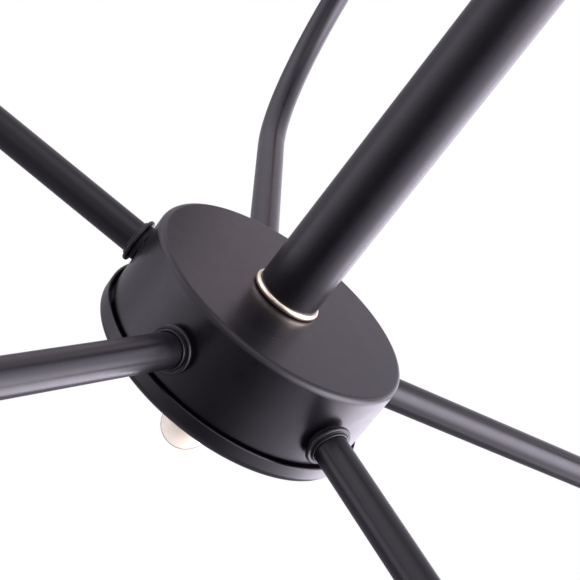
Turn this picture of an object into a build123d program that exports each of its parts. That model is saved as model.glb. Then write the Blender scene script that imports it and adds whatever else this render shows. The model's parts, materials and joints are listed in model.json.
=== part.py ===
from build123d import *
from math import cos, hypot, radians, sin
import os

# Five-arm hanging light: ceiling canopy, sloped-ceiling knuckle, down-rod, hub drum,
# five J-shaped arms with lampholders, bottom cover and ball finial.
# Millimetres. Origin in the ceiling plane on the rod's axis, +Z up, the light hangs below.

# ---------------------------------------------------------------- fits
slip_gap = 0.05          # turned plug in a tube, screw thread in its hole (radial)
hole_gap = 0.2           # screw or nipple in a plain hole (radial)
turn_gap = 0.1           # pivot screw in the fork's ear (radial)
slot_gap = 0.2           # tongue in the fork's slot, each side

# ---------------------------------------------------------------- common hardware
m10_radius = 5.0         # hollow M10 x 1 nipple
m10_bore = 3.5
m10_nut_flats = 14.0
m10_nut_height = 3.0
washer_radius = 8.0
washer_thickness = 1.0
m4_radius = 2.0
m6_radius = 3.0

# ---------------------------------------------------------------- canopy and bracket
canopy_height = 30.0
canopy_wall = 1.5
canopy_fillet = 3.0
canopy_gap = 0.25        # tab corners to the inside of the canopy
strap_width = 24.0
strap_thickness = 2.5
strap_bend = 4.0
tab_height = 16.0
side_screw_drop = 10.0   # side screws below the ceiling
screw_head_radius = 4.0
screw_head_height = 2.6
screw_slot_width = 1.0
screw_slot_depth = 1.2
slot_spacing = 88.0
slot_length = 12.0
slot_width = 5.2
slot_margin = 0.5        # slot's end to the start of the strap's bend
earth_x = -22.0
block_length = 26.0
block_width = 16.0
block_height = 12.0
block_x = 23.0
block_pitch = 8.0
block_bore = 2.4

# ---------------------------------------------------------------- sloped-ceiling knuckle
knuckle_base_radius = 18.0
knuckle_base_height = 6.0
stop_block_height = 8.0
stop_block_width = 18.0
knuckle_base_fillet = 1.5
pivot_below_stop = 2.4   # the rod's shoulder meets the stop block at 49 degrees
slot_head_room = 1.0
ear_radius = 8.5
tongue_thickness = 10.0
tongue_radius = 8.5
tongue_bore = 2.75
shoulder_below_pivot = 9.5
shoulder_height = 6.0
plug_length = 14.0
stem_height = 12.0
pivot_head_radius = 3.6
pivot_head_height = 2.4
pivot_tip = 3.0          # screw tip's distance from the rod's axis

# ---------------------------------------------------------------- down-rod
rod_radius = 11.5
rod_wall = 1.5
upper_rod_length = 245.0
lower_rod_length = 245.0
coupler_band = 1.5
coupler_bore = 4.0
foot_plug_height = 14.0
ring_radius = 12.8       # polished ring under the rod's foot
ring_height = 2.5
ring_seat_depth = 1.2
ring_fillet = 1.15

# ---------------------------------------------------------------- hub
hub_radius = 50.0
hub_height = 30.0
hub_wall = 1.5
hub_fillet = 2.4
hub_rim_chamfer = 0.4
arm_drop = 18.3          # arm axis below the hub's top face
bridge_half_width = 20.0
bridge_width = 14.0
bridge_thickness = 2.0
bridge_bend = 4.0
bridge_boss_radius = 5.5
bridge_boss_height = 6.0
hub_block_length = 24.0
hub_block_depth = 10.0
hub_block_height = 13.0
hub_block_drop = 11.0

# ---------------------------------------------------------------- bottom cover and finial
cover_radius = 52.0
cover_wall = 1.0
cover_floor = 1.5
cover_rim_drop = 30.3    # top of the upturned rim, below the hub's top face
cover_base_drop = 38.0
cover_fillet = 3.4
locating_ring_radius = 47.2
locating_ring_wall = 1.2
locating_ring_rise = 7.8
ball_radius = 9.0
ball_drop = 62.7         # ball centre below the hub's top face
finial_foot_radius = 7.0
finial_foot_height = 2.0
finial_neck_radius = 4.2
finial_bead_radius = 5.6
finial_bead_height = 2.4
stud_in_finial = 12.0
stud_tip_drop = 25.0

# ---------------------------------------------------------------- arms
arm_count = 5
arm_pitch = 360.0 / arm_count
first_azimuth = 90.0 + arm_pitch
arm_radius = 6.0
arm_wall = 1.0
bend_start = 181.0       # straight tube ends here, measured from the rod's axis
bend_radius = 110.0
arm_rise = 14.0          # straight upright end of the tube
collar_neck_radius = 6.7
collar_neck = 1.7
collar_flange_radius = 8.3
collar_flange = 1.6
collar_flange_fillet = 0.5
collar_seat_radius = 6.75
collar_seat = 0.9
collar_seat_fillet = 0.3
inner_nipple_start = 40.0
nipple_in_tube = 10.0

# ---------------------------------------------------------------- lamp cup and lampholder
socket_ring_radius = 8.0
socket_ring_height = 3.0
cup_radius = 21.0
cup_wall = 1.5
cup_floor = 2.5
cup_height = 46.0
cup_fillet = 6.0
holder_cap_radius = 15.0
holder_cap_height = 9.0
holder_radius = 18.5
holder_top_gap = 2.0     # lampholder's rim below the cup's rim
lamp_bore_radius = 13.3  # inside of the E27 screw shell
shell_wall = 0.55
shell_length = 20.0
shell_top_gap = 2.0
lamp_bore_depth = 24.0
holder_wire_bore = 4.0
contact_length = 15.0
contact_width = 5.0
contact_thickness = 0.8
contact_dome_radius = 2.5
contact_top_gap = 0.3    # contact's top below the screw shell's lower end

# ---------------------------------------------------------------- strap and canopy reach
tab_face = slot_spacing / 2 + slot_length / 2 + slot_margin + strap_bend
strap_reach = tab_face + strap_thickness
canopy_radius = hypot(strap_reach, strap_width / 2) + canopy_gap + canopy_wall

# ---------------------------------------------------------------- levels
canopy_floor_z = -canopy_height
knuckle_base_z = canopy_floor_z - knuckle_base_height
stop_z = knuckle_base_z - stop_block_height
pivot_z = stop_z - pivot_below_stop
shoulder_z = pivot_z - shoulder_below_pivot
rod_top_z = shoulder_z - shoulder_height
coupler_top_z = rod_top_z - upper_rod_length
coupler_base_z = coupler_top_z - coupler_band
rod_foot_z = coupler_base_z - lower_rod_length
ring_base_z = rod_foot_z - (ring_height - ring_seat_depth)
hub_top_z = ring_base_z
arm_z = hub_top_z - arm_drop
cover_base_z = hub_top_z - cover_base_drop
cover_floor_z = cover_base_z + cover_floor
upright_reach = bend_start + bend_radius
arm_end_z = arm_z + bend_radius + arm_rise
cup_base_z = arm_end_z + socket_ring_height
cup_floor_z = cup_base_z + cup_floor
holder_base_z = cup_floor_z + holder_cap_height
holder_top_z = cup_base_z + cup_height - holder_top_gap
lamp_floor_z = holder_top_z - lamp_bore_depth
shell_top_z = holder_top_z - shell_top_gap
contact_top_z = shell_top_z - shell_length - contact_top_gap
rod_bore_radius = rod_radius - rod_wall
azimuths = [first_azimuth + arm_pitch * n for n in range(arm_count)]


def radial(azimuth):
    return Vector(cos(radians(azimuth)), sin(radians(azimuth)), 0)


def across(azimuth, reach, z=arm_z):
    """Plane square to an arm, `reach` from the rod's axis, facing outward."""
    out = radial(azimuth)
    origin = (out.X * reach, out.Y * reach, z)
    return Plane(origin=origin, x_dir=(0, 0, 1), z_dir=out)


def upright(azimuth, z):
    """Level plane on the upright end of an arm, facing up."""
    out = radial(azimuth)
    origin = (out.X * upright_reach, out.Y * upright_reach, z)
    return Plane(origin=origin, x_dir=out, z_dir=(0, 0, 1))


def level(z):
    return Plane.XY.offset(z)


def keep(piece, label):
    """Name a finished piece and write it."""
    piece.part.label = label
    export_step(piece.part, f"parts/{label}.step")


os.makedirs("parts", exist_ok=True)

# ================================================================ canopy body

# Formed strap that is screwed to the ceiling, with a tapped tab at each end.
with BuildPart() as ceiling_bracket:
    with BuildSketch(Plane.XZ):
        with BuildLine():
            Polyline(
                (-strap_reach, -tab_height),
                (-strap_reach, 0),
                (strap_reach, 0),
                (strap_reach, -tab_height),
                (tab_face, -tab_height),
                (tab_face, -strap_thickness),
                (-tab_face, -strap_thickness),
                (-tab_face, -tab_height),
                close=True,
            )
        make_face()
    extrude(amount=strap_width / 2, both=True)
    bends = ceiling_bracket.edges().filter_by(Axis.Y).group_by(Axis.Z)
    fillet(bends[-1], radius=strap_bend)
    fillet(ceiling_bracket.edges().filter_by(Axis.X).group_by(Axis.Z)[0], radius=0.6)
    with BuildSketch(Plane.XY):
        with GridLocations(slot_spacing, 0, 2, 1):
            SlotOverall(slot_length, slot_width)
    extrude(amount=-strap_thickness, mode=Mode.SUBTRACT)
    with Locations((earth_x, 0, 0)):
        Hole(radius=m4_radius + slip_gap)
    with BuildSketch(Plane.YZ):
        with Locations((0, -side_screw_drop)):
            Circle(m4_radius + slip_gap)
    extrude(amount=strap_reach, both=True, mode=Mode.SUBTRACT)
keep(ceiling_bracket, "ceiling_bracket")

# Shallow cup that hides the bracket, open towards the ceiling.
with BuildPart() as canopy_shell:
    with BuildSketch(level(canopy_floor_z)):
        Circle(canopy_radius)
    extrude(amount=canopy_height)
    fillet(canopy_shell.edges().group_by(Axis.Z)[0], radius=canopy_fillet)
    offset(amount=-canopy_wall, openings=canopy_shell.faces().sort_by(Axis.Z)[-1])
    with BuildSketch(level(canopy_floor_z)):
        Circle(m10_radius + hole_gap)
    extrude(amount=canopy_wall, mode=Mode.SUBTRACT)
    with BuildSketch(Plane.YZ):
        with Locations((0, -side_screw_drop)):
            Circle(m4_radius + hole_gap)
    extrude(amount=canopy_radius, both=True, mode=Mode.SUBTRACT)
keep(canopy_shell, "canopy_shell")

# Two domed side screws through the canopy's wall into the bracket's tabs.
with BuildPart() as canopy_screws:
    for side in (1, -1):
        face = Plane(
            origin=(side * canopy_radius, 0, -side_screw_drop),
            x_dir=(0, 0, 1),
            z_dir=(side, 0, 0),
        )
        with BuildSketch(face):
            Circle(screw_head_radius)
        extrude(amount=screw_head_height)
        with BuildSketch(face):
            Circle(m4_radius)
        extrude(amount=-(canopy_radius - strap_reach + strap_thickness + 2))
        with BuildSketch(face.offset(screw_head_height)):
            Rectangle(screw_slot_width, 2 * screw_head_radius)
        extrude(amount=-screw_slot_depth, mode=Mode.SUBTRACT)
keep(canopy_screws, "canopy_screws")

# Earth screw under the strap.
with BuildPart() as earth_screw:
    with BuildSketch(level(-strap_thickness)):
        with Locations((earth_x, 0)):
            Circle(screw_head_radius)
    extrude(amount=-screw_head_height)
    with BuildSketch(level(-strap_thickness)):
        with Locations((earth_x, 0)):
            Circle(m4_radius)
    extrude(amount=strap_thickness - 0.2)
    with BuildSketch(level(-strap_thickness - screw_head_height)):
        with Locations((earth_x, 0)):
            Rectangle(2 * screw_head_radius, screw_slot_width)
    extrude(amount=screw_slot_depth, mode=Mode.SUBTRACT)
keep(earth_screw, "earth_screw")

# Three-pole terminal block under the strap.
with BuildPart() as terminal_block:
    with BuildSketch(level(-strap_thickness)):
        with Locations((block_x, 0)):
            RectangleRounded(block_length, block_width, 1)
    extrude(amount=-block_height)
    with BuildSketch(level(-strap_thickness - block_height)):
        with Locations((block_x, 0)):
            with GridLocations(block_pitch, block_width / 2, 3, 2):
                Circle(block_bore * 0.7)
    extrude(amount=block_height * 0.6, mode=Mode.SUBTRACT)
    with BuildSketch(Plane.XZ.offset(-block_width / 2)):
        with Locations((block_x, -strap_thickness - block_height * 0.45)):
            with GridLocations(block_pitch, 0, 3, 1):
                Circle(block_bore)
    extrude(amount=block_width, mode=Mode.SUBTRACT)
keep(terminal_block, "terminal_block")

# Knuckle's upper half: base against the canopy, stop block, two ears, hollow threaded stem.
# The tongue's slot runs up into the stop block, whose underside limits the tilt.
with BuildPart() as knuckle_fork:
    with BuildSketch(Plane.YZ):
        with Locations((0, (knuckle_base_z + pivot_z) / 2)):
            Rectangle(2 * ear_radius, knuckle_base_z - pivot_z)
        with Locations((0, pivot_z)):
            Circle(ear_radius)
    extrude(amount=rod_radius, both=True)
    with BuildSketch(level(knuckle_base_z)):
        Circle(rod_radius)
    extrude(amount=-(knuckle_base_z - pivot_z + ear_radius + 1), mode=Mode.INTERSECT)
    with BuildSketch(level(knuckle_base_z)):
        Circle(knuckle_base_radius)
    extrude(amount=knuckle_base_height)
    rims = knuckle_fork.edges().filter_by(GeomType.CIRCLE)
    base_rims = [rim for rim in rims if abs(rim.radius - knuckle_base_radius) < 0.01]
    fillet(ShapeList(base_rims).sort_by(Axis.Z)[0], radius=knuckle_base_fillet)
    with BuildSketch(level(stop_z)):
        Circle(knuckle_base_radius - knuckle_base_fillet)
        Rectangle(stop_block_width, 2 * knuckle_base_radius, mode=Mode.INTERSECT)
    extrude(amount=stop_block_height)
    with BuildSketch(level(canopy_floor_z)):
        Circle(m10_radius)
    extrude(amount=stem_height)
    with BuildSketch(level(pivot_z - ear_radius - 1)):
        Rectangle(tongue_thickness + 2 * slot_gap, 2 * rod_radius)
    extrude(amount=ear_radius + 1 + tongue_radius + slot_head_room, mode=Mode.SUBTRACT)
    with BuildSketch(Plane.YZ):
        with Locations((0, pivot_z)):
            Circle(m4_radius + turn_gap)
    extrude(amount=rod_radius, both=True, mode=Mode.SUBTRACT)
    for side in (1, -1):
        with BuildSketch(Plane.YZ.offset(side * (rod_radius - pivot_head_height - 0.4))):
            with Locations((0, pivot_z)):
                Circle(pivot_head_radius + turn_gap)
        extrude(amount=side * rod_radius, mode=Mode.SUBTRACT)
    with BuildSketch(level(pivot_z)):
        Circle(m10_bore)
    extrude(amount=canopy_height, mode=Mode.SUBTRACT)
keep(knuckle_fork, "knuckle_fork")

canopy_washer_z = canopy_floor_z + canopy_wall
with BuildPart() as canopy_washer:
    with BuildSketch(level(canopy_washer_z)):
        Circle(washer_radius)
        Circle(m10_radius + hole_gap, mode=Mode.SUBTRACT)
    extrude(amount=washer_thickness)
keep(canopy_washer, "canopy_washer")

with BuildPart() as canopy_nut:
    with BuildSketch(level(canopy_washer_z + washer_thickness)):
        RegularPolygon(m10_nut_flats / 2, 6, major_radius=False)
        Circle(m10_radius + slip_gap, mode=Mode.SUBTRACT)
    extrude(amount=m10_nut_height)
keep(canopy_nut, "canopy_nut")

# ================================================================ suspension body

# Knuckle's lower half: rounded tongue, shoulder and the plug that carries the rod.
with BuildPart() as knuckle_tongue:
    with BuildSketch(Plane.YZ):
        with Locations((0, (shoulder_z + pivot_z) / 2)):
            Rectangle(2 * tongue_radius, shoulder_below_pivot)
        with Locations((0, pivot_z)):
            Circle(tongue_radius)
    extrude(amount=tongue_thickness / 2, both=True)
    with BuildSketch(level(rod_top_z)):
        Circle(rod_radius)
    extrude(amount=shoulder_height)
    with BuildSketch(level(rod_top_z)):
        Circle(rod_bore_radius - slip_gap)
    extrude(amount=-plug_length)
    with BuildSketch(level(rod_top_z - plug_length)):
        Circle(tongue_bore)
    extrude(amount=plug_length + shoulder_height + 2 * shoulder_below_pivot, mode=Mode.SUBTRACT)
    with BuildSketch(Plane.YZ):
        with Locations((0, pivot_z)):
            Circle(m4_radius + slip_gap)
    extrude(amount=tongue_thickness, both=True, mode=Mode.SUBTRACT)
keep(knuckle_tongue, "knuckle_tongue")

# A short pivot screw from each side leaves the wire way through the middle open.
with BuildPart() as pivot_screws:
    for side in (1, -1):
        face = Plane(
            origin=(side * (rod_radius - 0.4), 0, pivot_z),
            x_dir=(0, 0, 1),
            z_dir=(side, 0, 0),
        )
        with BuildSketch(face):
            Circle(pivot_head_radius)
        extrude(amount=-pivot_head_height)
        with BuildSketch(face):
            Circle(m4_radius)
        extrude(amount=-(rod_radius - 0.4 - pivot_tip))
        with BuildSketch(face):
            Rectangle(screw_slot_width, 2 * pivot_head_radius)
        extrude(amount=-screw_slot_depth, mode=Mode.SUBTRACT)
keep(pivot_screws, "pivot_screws")

with BuildPart() as upper_rod:
    with BuildSketch(level(rod_top_z)):
        Circle(rod_radius)
        Circle(rod_bore_radius, mode=Mode.SUBTRACT)
    extrude(amount=-upper_rod_length)
keep(upper_rod, "upper_rod")

# Inner sleeve with a flush band joins the two rod lengths.
with BuildPart() as rod_coupler:
    with BuildSketch(level(coupler_base_z - plug_length)):
        Circle(rod_bore_radius - slip_gap)
    extrude(amount=2 * plug_length + coupler_band)
    with BuildSketch(level(coupler_base_z)):
        Circle(rod_radius)
    extrude(amount=coupler_band)
    with BuildSketch(level(coupler_base_z - plug_length)):
        Circle(coupler_bore)
    extrude(amount=2 * plug_length + coupler_band, mode=Mode.SUBTRACT)
keep(rod_coupler, "rod_coupler")

with BuildPart() as lower_rod:
    with BuildSketch(level(coupler_base_z)):
        Circle(rod_radius)
        Circle(rod_bore_radius, mode=Mode.SUBTRACT)
    extrude(amount=-lower_rod_length)
keep(lower_rod, "lower_rod")

with BuildPart() as rod_foot_plug:
    with BuildSketch(level(rod_foot_z)):
        Circle(rod_bore_radius - slip_gap)
        Circle(m10_radius + slip_gap, mode=Mode.SUBTRACT)
    extrude(amount=foot_plug_height)
keep(rod_foot_plug, "rod_foot_plug")

# Polished ring that the rod's foot stands in.
with BuildPart() as base_ring:
    with BuildSketch(level(ring_base_z)):
        Circle(ring_radius)
        Circle(m10_radius + hole_gap, mode=Mode.SUBTRACT)
    extrude(amount=ring_height)
    rims = base_ring.edges().filter_by(GeomType.CIRCLE)
    outer_rims = [rim for rim in rims if abs(rim.radius - ring_radius) < 0.01]
    fillet(ShapeList(outer_rims), radius=ring_fillet)
    with BuildSketch(level(rod_foot_z)):
        Circle(rod_radius + slip_gap)
    extrude(amount=ring_seat_depth, mode=Mode.SUBTRACT)
keep(base_ring, "base_ring")

# Closed-top drum with five arm holes, open below.
with BuildPart() as hub_drum:
    with BuildSketch(level(hub_top_z)):
        Circle(hub_radius)
    extrude(amount=-hub_height)
    fillet(hub_drum.edges().group_by(Axis.Z)[-1], radius=hub_fillet)
    offset(amount=-hub_wall, openings=hub_drum.faces().sort_by(Axis.Z)[0])
    rims = hub_drum.edges().filter_by(GeomType.CIRCLE).group_by(Axis.Z)[0]
    chamfer(rims.sort_by(SortBy.RADIUS)[-1], length=hub_rim_chamfer)
    with BuildSketch(level(hub_top_z)):
        Circle(m10_radius + hole_gap)
    extrude(amount=-hub_wall, mode=Mode.SUBTRACT)
    with BuildSketch(*[across(azimuth, hub_radius - 2 * hub_wall) for azimuth in azimuths]):
        Circle(m10_radius + hole_gap)
    extrude(amount=3 * hub_wall, mode=Mode.SUBTRACT)
keep(hub_drum, "hub_drum")

# Strap inside the drum: clamped under the top, tapped below for the finial's stud.
bridge_top_z = hub_top_z - hub_wall
bridge_plate_z = cover_floor_z + bridge_thickness
with BuildPart() as hub_bridge:
    with BuildSketch(Plane.XZ):
        with Locations((0, (bridge_top_z + cover_floor_z) / 2)):
            RectangleRounded(
                2 * (bridge_half_width + bridge_thickness),
                bridge_top_z - cover_floor_z,
                bridge_bend,
            )
        offset(amount=-bridge_thickness, mode=Mode.SUBTRACT)
    extrude(amount=bridge_width / 2, both=True)
    with BuildSketch(level(bridge_plate_z)):
        Circle(bridge_boss_radius)
    extrude(amount=bridge_boss_height)
    with BuildSketch(level(cover_floor_z)):
        Circle(m6_radius + slip_gap)
    extrude(amount=bridge_thickness + bridge_boss_height, mode=Mode.SUBTRACT)
    with BuildSketch(level(bridge_top_z)):
        Circle(m10_radius + hole_gap)
    extrude(amount=-bridge_thickness, mode=Mode.SUBTRACT)
keep(hub_bridge, "hub_bridge")

hub_washer_z = bridge_top_z - bridge_thickness
with BuildPart() as hub_washer:
    with BuildSketch(level(hub_washer_z)):
        Circle(washer_radius)
        Circle(m10_radius + hole_gap, mode=Mode.SUBTRACT)
    extrude(amount=-washer_thickness)
keep(hub_washer, "hub_washer")

hub_nut_z = hub_washer_z - washer_thickness
with BuildPart() as hub_nut:
    with BuildSketch(level(hub_nut_z)):
        RegularPolygon(m10_nut_flats / 2, 6, major_radius=False)
        Circle(m10_radius + slip_gap, mode=Mode.SUBTRACT)
    extrude(amount=-m10_nut_height)
keep(hub_nut, "hub_nut")

# Hollow nipple from the rod's foot plug through ring, drum, strap, washer and nut.
with BuildPart() as hub_nipple:
    with BuildSketch(level(hub_nut_z - m10_nut_height - 1)):
        Circle(m10_radius)
        Circle(m10_bore, mode=Mode.SUBTRACT)
    extrude(amount=rod_foot_z + foot_plug_height - 1 - (hub_nut_z - m10_nut_height - 1))
keep(hub_nipple, "hub_nipple")

# Terminal block on the strap's leg, where the arms' wires join the supply.
hub_block_x = bridge_half_width + bridge_thickness
with BuildPart() as hub_terminal:
    with BuildSketch(Plane.YZ.offset(hub_block_x)):
        with Locations((0, hub_top_z - hub_block_drop - hub_block_height / 2)):
            RectangleRounded(hub_block_length, hub_block_height, 1)
    extrude(amount=hub_block_depth)
    with BuildSketch(level(hub_top_z - hub_block_drop)):
        with Locations((hub_block_x + hub_block_depth / 2, 0)):
            with GridLocations(0, block_pitch * 0.9, 1, 3):
                Circle(block_bore)
    extrude(amount=-hub_block_height, mode=Mode.SUBTRACT)
    with BuildSketch(Plane.YZ.offset(hub_block_x + hub_block_depth)):
        with Locations((0, hub_top_z - hub_block_drop - hub_block_height / 2)):
            with GridLocations(block_pitch * 0.9, hub_block_height / 2, 3, 2):
                Circle(block_bore * 0.7)
    extrude(amount=-hub_block_depth / 2, mode=Mode.SUBTRACT)
keep(hub_terminal, "hub_terminal")

# ---------------------------------------------------------------- five arms
tube_start = hub_radius + collar_neck + 0.6
for number, azimuth in enumerate(azimuths, start=1):
    out = radial(azimuth)
    # Upright plane through the arm: x outward, y up.
    side_view = Plane(origin=(0, 0, arm_z), x_dir=out, z_dir=out.cross(Vector(0, 0, 1)))

    with BuildPart() as arm:
        with BuildLine(side_view):
            straight = Line((tube_start, 0), (bend_start, 0))
            bend = CenterArc((bend_start, bend_radius), bend_radius, -90, 90)
            Line(bend @ 1, (upright_reach, bend_radius + arm_rise))
        with BuildSketch(across(azimuth, tube_start)):
            Circle(arm_radius)
            Circle(arm_radius - arm_wall, mode=Mode.SUBTRACT)
        sweep()
    keep(arm, f"arm_{number}")

    # Stepped collar: narrow neck against the drum, flange, thin seat ring round the tube.
    with BuildPart() as arm_collar:
        with BuildSketch(across(azimuth, hub_radius)):
            Circle(collar_neck_radius)
        extrude(amount=collar_neck)
        with BuildSketch(across(azimuth, hub_radius + collar_neck)):
            Circle(collar_flange_radius)
        extrude(amount=collar_flange)
        rims = arm_collar.edges().filter_by(GeomType.CIRCLE)
        flange_rims = [rim for rim in rims if abs(rim.radius - collar_flange_radius) < 0.01]
        fillet(ShapeList(flange_rims), radius=collar_flange_fillet)
        with BuildSketch(across(azimuth, hub_radius + collar_neck + collar_flange)):
            Circle(collar_seat_radius)
        extrude(amount=collar_seat)
        rims = arm_collar.edges().filter_by(GeomType.CIRCLE)
        seat_rims = [rim for rim in rims if abs(rim.radius - collar_seat_radius) < 0.01]
        reach = hub_radius + collar_neck + collar_flange + collar_seat
        tip = (out.X * reach, out.Y * reach, arm_z)
        fillet(ShapeList(seat_rims).sort_by_distance(tip)[0], radius=collar_seat_fillet)
        with BuildSketch(across(azimuth, hub_radius)):
            Circle(m10_radius + hole_gap)
        extrude(amount=collar_neck + collar_flange + collar_seat, mode=Mode.SUBTRACT)
        with BuildSketch(across(azimuth, tube_start)):
            Circle(arm_radius + slip_gap)
        extrude(amount=collar_flange + collar_seat, mode=Mode.SUBTRACT)
    keep(arm_collar, f"arm_collar_{number}")

    # Polished ring between the tube's upright end and the cup.
    with BuildPart() as socket_ring:
        with BuildSketch(upright(azimuth, arm_end_z)):
            Circle(socket_ring_radius)
        extrude(amount=socket_ring_height)
        fillet(socket_ring.edges().filter_by(GeomType.CIRCLE), radius=ring_fillet)
        with BuildSketch(upright(azimuth, arm_end_z)):
            Circle(m10_radius + slip_gap)
        extrude(amount=socket_ring_height, mode=Mode.SUBTRACT)
    keep(socket_ring, f"socket_ring_{number}")

    # Cup round the lampholder, open at the top.
    with BuildPart() as socket_cup:
        with BuildSketch(upright(azimuth, cup_base_z)):
            Circle(cup_radius)
        extrude(amount=cup_height)
        fillet(socket_cup.edges().group_by(Axis.Z)[0], radius=cup_fillet)
        with BuildSketch(upright(azimuth, cup_floor_z)):
            Circle(cup_radius - cup_wall)
        extrude(amount=cup_height - cup_floor, mode=Mode.SUBTRACT)
        inner_floor = socket_cup.edges().filter_by(GeomType.CIRCLE)
        floor_rims = [
            rim
            for rim in inner_floor
            if abs(rim.radius - cup_radius + cup_wall) < 0.01
        ]
        fillet(ShapeList(floor_rims).sort_by(Axis.Z)[0], radius=cup_fillet - 2 * cup_wall)
        with BuildSketch(upright(azimuth, cup_base_z)):
            Circle(m10_radius + hole_gap)
        extrude(amount=cup_floor, mode=Mode.SUBTRACT)
    keep(socket_cup, f"socket_cup_{number}")

    # Lampholder body: deep bore for the lamp's cap, wire hole in its floor.
    with BuildPart() as lampholder:
        with BuildSketch(upright(azimuth, holder_base_z)):
            Circle(holder_radius)
        extrude(amount=holder_top_z - holder_base_z)
        chamfer(lampholder.edges().group_by(Axis.Z)[-1], length=0.8)
        with BuildSketch(upright(azimuth, lamp_floor_z)):
            Circle(lamp_bore_radius + shell_wall + slip_gap)
        extrude(amount=lamp_bore_depth, mode=Mode.SUBTRACT)
        with BuildSketch(upright(azimuth, holder_base_z)):
            with Locations((holder_radius / 2, 0)):
                Circle(holder_wire_bore)
        extrude(amount=lamp_floor_z - holder_base_z, mode=Mode.SUBTRACT)
    keep(lampholder, f"lampholder_{number}")

    # Brass shell that takes the lamp's thread.
    with BuildPart() as screw_shell:
        with BuildSketch(upright(azimuth, shell_top_z)):
            Circle(lamp_bore_radius + shell_wall)
            Circle(lamp_bore_radius, mode=Mode.SUBTRACT)
        extrude(amount=-shell_length)
    keep(screw_shell, f"screw_shell_{number}")

# ---------------------------------------------------------------- arm fastenings, one of each per arm
with BuildPart() as arm_inner_nipples:
    with BuildSketch(*[across(azimuth, inner_nipple_start) for azimuth in azimuths]):
        Circle(m10_radius - slip_gap)
        Circle(m10_bore, mode=Mode.SUBTRACT)
    extrude(amount=tube_start + nipple_in_tube - inner_nipple_start)
keep(arm_inner_nipples, "arm_inner_nipples")

# The washer's edge meets the curved wall first.
washer_reach = ((hub_radius - hub_wall) ** 2 - washer_radius**2) ** 0.5 - slip_gap
with BuildPart() as arm_washers:
    with BuildSketch(*[across(azimuth, washer_reach) for azimuth in azimuths]):
        Circle(washer_radius)
        Circle(m10_radius + hole_gap, mode=Mode.SUBTRACT)
    extrude(amount=-washer_thickness)
keep(arm_washers, "arm_washers")

nut_reach = washer_reach - washer_thickness
with BuildPart() as arm_nuts:
    with BuildSketch(*[across(azimuth, nut_reach) for azimuth in azimuths]):
        RegularPolygon(m10_nut_flats / 2, 6, major_radius=False)
        Circle(m10_radius + slip_gap, mode=Mode.SUBTRACT)
    extrude(amount=-m10_nut_height)
keep(arm_nuts, "arm_nuts")

with BuildPart() as arm_outer_nipples:
    with BuildSketch(*[upright(azimuth, arm_end_z - nipple_in_tube) for azimuth in azimuths]):
        Circle(m10_radius - slip_gap)
        Circle(m10_bore, mode=Mode.SUBTRACT)
    extrude(amount=nipple_in_tube + socket_ring_height + cup_floor + holder_cap_height - 1)
keep(arm_outer_nipples, "arm_outer_nipples")

with BuildPart() as lampholder_caps:
    with BuildSketch(*[upright(azimuth, cup_floor_z) for azimuth in azimuths]):
        Circle(holder_cap_radius)
        Circle(m10_radius + slip_gap, mode=Mode.SUBTRACT)
    extrude(amount=holder_cap_height)
keep(lampholder_caps, "lampholder_caps")

# Sprung tongue with a raised centre on the lampholder's floor.
with BuildPart() as lamp_contacts:
    with BuildSketch(*[upright(azimuth, lamp_floor_z) for azimuth in azimuths]):
        with Locations((-contact_length / 4, 0)):
            Rectangle(contact_length, contact_width)
    extrude(amount=contact_thickness)
    with BuildSketch(
        *[upright(azimuth, lamp_floor_z + contact_thickness) for azimuth in azimuths]
    ):
        Circle(contact_dome_radius)
    extrude(amount=contact_top_z - lamp_floor_z - contact_thickness)
keep(lamp_contacts, "lamp_contacts")

# ================================================================ bottom cover body

# Shallow dish with an upturned rim outside the drum and a locating ring inside it.
with BuildPart() as bottom_cover:
    with BuildSketch(level(cover_base_z)):
        Circle(cover_radius)
    extrude(amount=cover_base_drop - cover_rim_drop)
    fillet(bottom_cover.edges().group_by(Axis.Z)[0], radius=cover_fillet)
    with BuildSketch(level(cover_floor_z)):
        Circle(cover_radius - cover_wall)
    extrude(amount=cover_base_drop, mode=Mode.SUBTRACT)
    rims = bottom_cover.edges().filter_by(GeomType.CIRCLE)
    inner_rims = [rim for rim in rims if abs(rim.radius - cover_radius + cover_wall) < 0.01]
    fillet(ShapeList(inner_rims).sort_by(Axis.Z)[0], radius=cover_fillet - cover_wall)
    with BuildSketch(level(cover_floor_z)):
        Circle(locating_ring_radius)
        Circle(locating_ring_radius - locating_ring_wall, mode=Mode.SUBTRACT)
    extrude(amount=locating_ring_rise)
    with BuildSketch(level(cover_base_z)):
        Circle(m6_radius + hole_gap)
    extrude(amount=cover_floor, mode=Mode.SUBTRACT)
keep(bottom_cover, "bottom_cover")

# ================================================================ finial body

ball_z = hub_top_z - ball_drop
neck_z = cover_base_z - finial_foot_height
bead_z = ball_z + ball_radius
with BuildPart() as finial:
    with BuildSketch(Plane.XZ):
        with BuildLine():
            Polyline(
                (0, ball_z),
                (0, cover_base_z),
                (finial_foot_radius, cover_base_z),
                (finial_foot_radius, neck_z + 0.6),
                (finial_foot_radius - 0.6, neck_z),
            )
            Spline(
                (finial_foot_radius - 0.6, neck_z),
                (finial_neck_radius, (neck_z + bead_z) / 2),
                (finial_neck_radius, bead_z + finial_bead_height),
                tangents=[(-1, -0.6), (0, -1)],
            )
            Polyline(
                (finial_neck_radius, bead_z + finial_bead_height),
                (finial_bead_radius, bead_z + finial_bead_height * 0.75),
                (finial_bead_radius, bead_z + finial_bead_height * 0.25),
                (finial_neck_radius, bead_z),
                (finial_neck_radius, ball_z),
                (0, ball_z),
            )
        make_face()
    revolve(axis=Axis.Z)
    with Locations((0, 0, ball_z)):
        Sphere(ball_radius)
    with BuildSketch(level(cover_base_z)):
        Circle(m6_radius + slip_gap)
    extrude(amount=-stud_in_finial - 1, mode=Mode.SUBTRACT)
keep(finial, "finial")

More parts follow.
